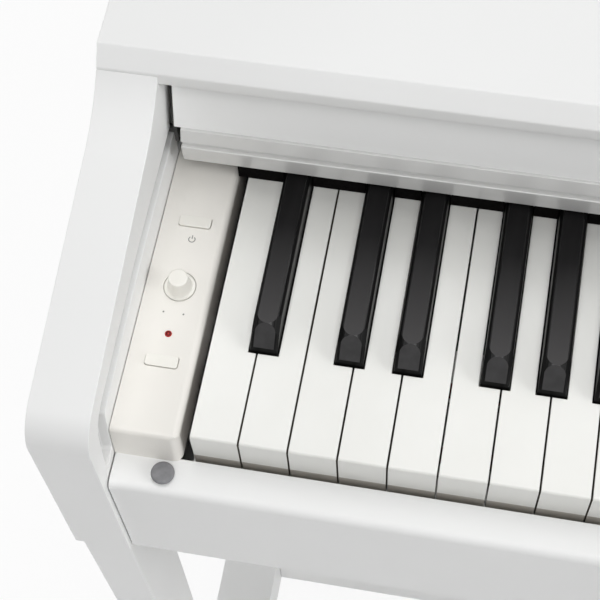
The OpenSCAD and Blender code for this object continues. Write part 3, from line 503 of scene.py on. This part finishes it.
# How steep each part of a black key lies, as the height of its normal
crownLook = {"top": 0.98, "tip": (0.7, 0.78), "tipAcross": 0.1, "foot": 0.85}
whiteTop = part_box("key_a0")[1].z
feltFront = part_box("key_felt")[0].y
keyNodes = [node for node, slot in slotOf.items()
            if node.startswith("key_") and slot in ("key_white", "key_black")]


# Whether an edge lies in front of the felt or a little way under it
def isSeen(middle):
    return middle.y < feltFront + keyLook["seen"]


# Which finish a face of a white key has: white cap and skirt, dark wood with painted gap shade behind
# them, a painted shade strip below the skirt
def whiteZone(face, capBottom, skirtBottom):
    height = face.calc_center_median().z
    if height > capBottom:
        return 0
    if face.normal.y > keyLook["frontFacing"]:
        return 1
    return 2 if height < skirtBottom else 0


def makeWhiteKeys(node, name):
    bm = copyNode(node)
    capBottom = whiteTop - keyLook["capDepth"]
    skirtBottom = whiteTop - keyLook["skirt"]
    cutAt(bm, capBottom)
    cutAt(bm, skirtBottom)
    roundEdges(bm, keyLook["whiteEdge"], 2,
               lambda middle: isSeen(middle) and middle.z > whiteTop - keyLook["whiteReach"])
    for face in bm.faces:
        face.material_index = whiteZone(face, capBottom, skirtBottom)
    addPiece(bm, name, node, [finish["key_white"], detailFinish["keyWoodAndGapShade"], detailFinish["keyEnd"]])


# Which finish a face of a black key has: top with painted reflection, tip with painted light, foot with
# painted shade, or glossy crown between them
def blackZone(normal):
    if normal.z > crownLook["top"]:
        return 1
    if abs(normal.x) < crownLook["tipAcross"] and crownLook["tip"][0] < normal.z < crownLook["tip"][1]:
        return 3
    return 2 if normal.z < crownLook["foot"] else 0


def makeBlackKeys(node, name):
    bm = copyNode(node)
    roundEdges(bm, keyLook["blackEdge"], 2,
               lambda middle: isSeen(middle) and middle.z > whiteTop + keyLook["blackReach"],
               keyLook["blackAngle"])
    for face in bm.faces:
        face.material_index = blackZone(face.normal)
    addPiece(bm, name, node, [finish["key_black"], detailFinish["blackKeyTop"],
                              detailFinish["blackKeyFootShade"], detailFinish["blackKeyTipPaintedLight"]])


for node in keyNodes:
    name = "key" + node[4:].capitalize()
    if slotOf[node] == "key_white":
        makeWhiteKeys(node, name)
    else:
        makeBlackKeys(node, name)
makeWhiteKeys("upper_white_keys", "upperWhiteKeys")
makeBlackKeys("upper_black_keys", "upperBlackKeys")
print("keys softened:", len(keyNodes) + 2)

blockLook = {"edge": 0.3 * mm, "buttonEdge": 0.35 * mm, "knobEdge": 0.3 * mm}

softenNode("key_blocks", "endBlocks", blockLook["edge"])
softenNode("power_button", "powerButton", blockLook["buttonEdge"], 3)
softenNode("function_button", "functionButton", blockLook["buttonEdge"], 3)
softenNode("volume_knob", "volumeKnob", blockLook["knobEdge"])


# A shape turned about an upright axis from its profile of radius and height
def turnedShape(profile, place, steps):
    bm = bmesh.new()
    rim = [bm.verts.new((place.x + reach, place.y, height)) for reach, height in profile]
    edges = [bm.edges.new(pair) for pair in zip(rim, rim[1:])]
    bmesh.ops.spin(bm, geom=rim + edges, cent=place, axis=(0, 0, 1), angle=math.tau, steps=steps,
                   use_merge=True)
    bmesh.ops.remove_doubles(bm, verts=bm.verts[:], dist=mesher["pointMerge"])
    bmesh.ops.recalc_face_normals(bm, faces=bm.faces[:])
    return bm


# The crown's height at its shoulder and round the chip is a share of the dip at the rim
lensLook = {"rim": 0.4 * mm, "edge": 0.12 * mm, "dip": 0.16 * mm, "shoulder": 0.8, "shoulderDip": 0.5,
            "spot": 0.5 * mm, "spotDip": 0.1, "flange": 0.8 * mm, "flangeTop": 2 * mm, "steps": 40}


# The status light: a clear red rim round a darker crowned lens with the chip in its middle
def makeStatusLight():
    low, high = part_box("status_led")
    middle = (low + high) / 2
    outer = (high.x - low.x) / 2
    radius = outer - lensLook["flange"]
    lens = radius - lensLook["rim"]
    top = high.z
    profile = [(0, low.z), (outer, low.z), (outer, low.z + lensLook["flangeTop"]),
               (radius, low.z + lensLook["flangeTop"]), (radius, top - lensLook["edge"]),
               (radius - lensLook["edge"], top), (lens, top), (lens, top - lensLook["dip"]),
               (lens * lensLook["shoulder"], top - lensLook["dip"] * lensLook["shoulderDip"]),
               (lensLook["spot"], top - lensLook["dip"] * lensLook["spotDip"]), (0, top)]
    bm = turnedShape(profile, middle, lensLook["steps"])
    for face in bm.faces:
        centre = face.calc_center_median()
        away = math.hypot(centre.x - middle.x, centre.y - middle.y)
        onTop = centre.z > top - lensLook["dip"] and lensLook["spot"] < away < lens
        face.material_index = 1 if onTop else 0
    addPiece(bm, "statusLight", "status_led", [finish["led_lens"], detailFinish["lampShade"]])


inkLook = {"lift": 0.03 * mm, "stroke": 0.5 * mm, "ring": 1.6 * mm, "ringSteps": 28,
           "opening": math.radians(80), "tick": (0.3 * mm, 2.3 * mm), "ringShift": (0.25 * mm, -9.9 * mm),
           "dot": 0.48 * mm, "dotSteps": 20, "dotShift": (5 * mm, -14.7 * mm)}


# Thin printed marks on the block: an open ring with a tick below the power button, a dot on each side
# of the knob's pointer
def makeBlockPrint():
    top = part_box("key_blocks")[1].z + inkLook["lift"]
    button = sum(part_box("power_button"), Vector()) / 2
    knob = sum(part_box("volume_knob"), Vector()) / 2
    centre = Vector((button.x + inkLook["ringShift"][0], button.y + inkLook["ringShift"][1], top))
    half = inkLook["stroke"] / 2
    bm = bmesh.new()
    start = math.pi / 2 + inkLook["opening"] / 2
    way = Vector((math.cos(start), math.sin(start), 0))
    ends = [bm.verts.new(centre + way * (inkLook["ring"] + side)) for side in (-half, half)]
    bmesh.ops.spin(bm, geom=ends + [bm.edges.new(ends)], cent=centre, axis=(0, 0, 1),
                   angle=math.tau - inkLook["opening"], steps=inkLook["ringSteps"])
    low, high = inkLook["tick"]
    tick = [(-half, low), (half, low), (half, high), (-half, high)]
    bm.faces.new([bm.verts.new(centre + Vector((x, y, 0))) for x, y in tick])
    for side in (-1, 1):
        spot = Vector((knob.x + side * inkLook["dotShift"][0], knob.y + inkLook["dotShift"][1], top))
        bmesh.ops.create_circle(bm, cap_ends=True, segments=inkLook["dotSteps"], radius=inkLook["dot"],
                                matrix=Matrix.Translation(spot))
    bmesh.ops.recalc_face_normals(bm, faces=bm.faces[:])
    bmesh.ops.solidify(bm, geom=bm.faces[:], thickness=inkLook["lift"] / 2)
    bmesh.ops.recalc_face_normals(bm, faces=bm.faces[:])
    addPiece(bm, "blockPrint", "key_blocks", [detailFinish["printInk"]], replace=False)


makeStatusLight()
makeBlockPrint()
print("controls made")

fastenerLook = {"rimWidth": 1.5 * mm, "depth": 1.4 * mm, "crossArm": 2.3 * mm, "crossHalf": 0.75 * mm,
                "leastAngle": 0.01, "hexReach": 2.9 * mm}


# Distance from the middle of a cross slot to its outline, by the angle round it
def crossReach(angle):
    off = abs((angle + math.pi / 4) % (math.pi / 2) - math.pi / 4)
    tip = fastenerLook["crossArm"] / math.cos(off)
    if off < fastenerLook["leastAngle"]:
        return tip
    return min(tip, fastenerLook["crossHalf"] / math.sin(off))


# The same for a hexagon
def hexReach(angle):
    off = (angle + math.pi / 6) % (math.pi / 3) - math.pi / 6
    return fastenerLook["hexReach"] * math.cos(math.pi / 6) / math.cos(off)


# Sinks a driver recess of the given outline into the flat end of a head
def sinkRecess(bm, face, reach):
    bmesh.ops.inset_individual(bm, faces=[face], thickness=fastenerLook["rimWidth"], use_even_offset=True)
    centre = face.calc_center_median()
    out = face.normal.copy()
    side = Vector((1, 0, 0))
    up = out.cross(side)
    for vert in face.verts:
        ray = (vert.co - centre).normalized()
        angle = math.atan2(ray.dot(up), ray.dot(side))
        vert.co = centre + ray * reach(angle)
    floor = bmesh.ops.extrude_discrete_faces(bm, faces=[face])["faces"][0]
    bmesh.ops.translate(bm, verts=floor.verts[:], vec=-out * fastenerLook["depth"])


# Cross-head screws in the back panel and hexagon-socket bolts under the key bed
def makeFasteners():
    bm = copyNode("fasteners")
    low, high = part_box("fasteners")
    backHeads = [face for face in bm.faces if face.calc_center_median().y > high.y - mesher["near"]]
    bedHeads = [face for face in bm.faces if face.calc_center_median().z < low.z + mesher["near"]]
    for face in backHeads:
        sinkRecess(bm, face, crossReach)
    for face in bedHeads:
        sinkRecess(bm, face, hexReach)
    addPiece(bm, "frameFasteners", "fasteners")
    return len(backHeads) + len(bedHeads)


print("fasteners recessed:", makeFasteners())

driverLook = {"surroundShare": 0.83, "magnetDepth": 24 * mm, "behind": -0.05}


# Loudspeaker drivers, which face down, in their own finishes: cone, surround, basket and magnet
def makeDrivers():
    bm = copyNode("speakers")
    low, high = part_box("speakers")
    half = (high.y - low.y) / 2
    middleY = (low.y + high.y) / 2
    middleX = high.x - half
    for face in bm.faces:
        centre = face.calc_center_median()
        away = math.hypot(abs(centre.x) - middleX, centre.y - middleY) / half
        if centre.z > low.z + driverLook["magnetDepth"]:
            face.material_index = 3
        elif face.normal.z > driverLook["behind"]:
            face.material_index = 2
        elif away > driverLook["surroundShare"]:
            face.material_index = 1
        else:
            face.material_index = 0
    addPiece(bm, "speakerDrivers", "speakers",
             [finish["speaker_cone"], finish["glide_rubber"], finish["dark_steel"], finish["zinc_steel"]])


makeDrivers()

jackLook = {"collar": 2.1 * mm, "height": 0.9 * mm, "play": 0.1 * mm, "edge": 0.25 * mm, "steps": 36}


# Bright collars round the jack bores, placed from the record's mounts
def makeJackCollars():
    bm = bmesh.new()
    bores = [mount for mount in record["mounts"] if mount["kind"] == "bore"]
    high = jackLook["height"]
    edge = jackLook["edge"]
    for mount in bores:
        inner = mount["dims"]["r_mm"] * mm + jackLook["play"]
        outer = inner + jackLook["collar"]
        way = Vector(mount["axis"])
        # The bore's mouth lies half its length out from the middle that the record gives
        mouth = Vector(mount["pos_m"]) + way * mount["dims"]["length_mm"] / 2 * mm
        profile = [(inner, 0), (inner, high - edge), (inner + edge, high), (outer - edge, high),
                   (outer, high - edge), (outer, 0)]
        rim = [bm.verts.new(mouth + Vector((reach, 0, 0)) + way * rise) for reach, rise in profile]
        edges = [bm.edges.new(pair) for pair in zip(rim, rim[1:] + rim[:1])]
        bmesh.ops.spin(bm, geom=rim + edges, cent=mouth, axis=way, angle=math.tau, steps=jackLook["steps"],
                       use_merge=True)
    bmesh.ops.remove_doubles(bm, verts=bm.verts[:], dist=mesher["pointMerge"])
    bmesh.ops.recalc_face_normals(bm, faces=bm.faces[:])
    addPiece(bm, "jackCollars", "jack_boxes", [finish["zinc_steel"]], replace=False)
    return len(bores)


print("jack collars:", makeJackCollars())

# The nodes that keep their CAD shape take the finish of their slot
for node, shape in frame["nodes"].items():
    if not shape.hide_render:
        shape.data.materials.clear()
        shape.data.materials.append(finish[slotOf[node]])

stageLook = {"size": 14, "color": (0.86, 0.86, 0.86), "roughness": 0.8, "whiteShare": 0.9, "sky": 0.08}
lampAim = (-0.45, 0, 0.74)
lampLook = {
    "topFront": {"place": (-0.4, -1.2, 3.4), "size": 2.0, "power": 31},
    "topBack": {"place": (-0.4, 0.95, 3.3), "size": 1.8, "power": 25},
    "frontLow": {"place": (-0.4, -3.0, 1.5), "size": 2.0, "power": 12},
    "rightLow": {"place": (2.2, -0.7, 1.7), "size": 1.6, "power": 34},
    "backRight": {"place": (1.4, 1.9, 2.8), "size": 0.9, "power": 11},
    "backLow": {"place": (0.3, 3.2, 0.9), "size": 2.0, "power": 26},
    "leftLow": {"place": (-3.2, -0.2, 0.9), "size": 1.6, "power": 30},
}
cameraLook = {"place": (-0.48285, -0.43547, 1.41063), "turn": (27.0446, 2.3681, 10.3221),
              "lens": 93.444, "sensor": 36}


# A value of 1 for the rays that see the white studio: from the camera, off gloss and through glass
def showsWhite(nodes, link):
    rays = nodes.new("ShaderNodeLightPath")
    total = rays.outputs["Is Camera Ray"]
    for kind in ("Is Glossy Ray", "Is Transmission Ray"):
        either = nodes.new("ShaderNodeMath")
        either.operation = "ADD"
        either.use_clamp = True
        link(total, either.inputs[0])
        link(rays.outputs[kind], either.inputs[1])
        total = either.outputs["Value"]
    return total


# A pale floor that takes shadows and shows nearly white to the rays of the white studio
def makeFloor():
    bm = bmesh.new()
    bmesh.ops.create_grid(bm, x_segments=1, y_segments=1, size=stageLook["size"])
    mesh = bpy.data.meshes.new("floor")
    bm.to_mesh(mesh)
    bm.free()
    floor = bpy.data.objects.new("floor", mesh)
    bpy.context.scene.collection.objects.link(floor)
    material = bpy.data.materials.new("paleFloor")
    material.use_nodes = True
    nodes = material.node_tree.nodes
    link = material.node_tree.links.new
    surface = nodes["Principled BSDF"]
    surface.inputs["Base Color"].default_value = (*stageLook["color"], 1)
    surface.inputs["Roughness"].default_value = stageLook["roughness"]
    glow = nodes.new("ShaderNodeEmission")
    share = nodes.new("ShaderNodeMath")
    share.operation = "MULTIPLY"
    share.inputs[1].default_value = stageLook["whiteShare"]
    mixed = nodes.new("ShaderNodeMixShader")
    link(showsWhite(nodes, link), share.inputs[0])
    link(share.outputs["Value"], mixed.inputs["Fac"])
    link(surface.outputs["BSDF"], mixed.inputs[1])
    link(glow.outputs["Emission"], mixed.inputs[2])
    link(mixed.outputs["Shader"], nodes["Material Output"].inputs["Surface"])
    mesh.materials.append(material)


# A dim sky for the object, white to the rays of the white studio
def makeWorld():
    world = bpy.data.worlds.new("studio")
    bpy.context.scene.world = world
    world.use_nodes = True
    nodes = world.node_tree.nodes
    link = world.node_tree.links.new
    nodes["Background"].inputs["Strength"].default_value = stageLook["sky"]
    nodes["Background"].inputs["Color"].default_value = (1, 1, 1, 1)
    white = nodes.new("ShaderNodeBackground")
    white.inputs["Color"].default_value = (1, 1, 1, 1)
    white.inputs["Strength"].default_value = 1
    mixed = nodes.new("ShaderNodeMixShader")
    link(showsWhite(nodes, link), mixed.inputs["Fac"])
    link(nodes["Background"].outputs["Background"], mixed.inputs[1])
    link(white.outputs["Background"], mixed.inputs[2])
    link(mixed.outputs["Shader"], nodes["World Output"].inputs["Surface"])


def makeLamp(name, look):
    lamp = bpy.data.lights.new(name, "AREA")
    lamp.shape = "DISK"
    lamp.size = look["size"]
    lamp.energy = look["power"]
    holder = bpy.data.objects.new(name, lamp)
    bpy.context.scene.collection.objects.link(holder)
    holder.location = look["place"]
    way = Vector(lampAim) - Vector(look["place"])
    holder.rotation_euler = way.to_track_quat("-Z", "Y").to_euler()


def makeCamera():
    lens = bpy.data.cameras.new("camera")
    lens.sensor_width = cameraLook["sensor"]
    lens.lens = cameraLook["lens"]
    camera = bpy.data.objects.new("camera", lens)
    bpy.context.scene.collection.objects.link(camera)
    camera.location = cameraLook["place"]
    camera.rotation_euler = [math.radians(angle) for angle in cameraLook["turn"]]
    bpy.context.scene.camera = camera


makeFloor()
makeWorld()
for side, look in lampLook.items():
    makeLamp(side + "Lamp", look)
makeCamera()
bpy.context.scene.view_settings.view_transform = "Standard"
print("stage, lights and camera set")
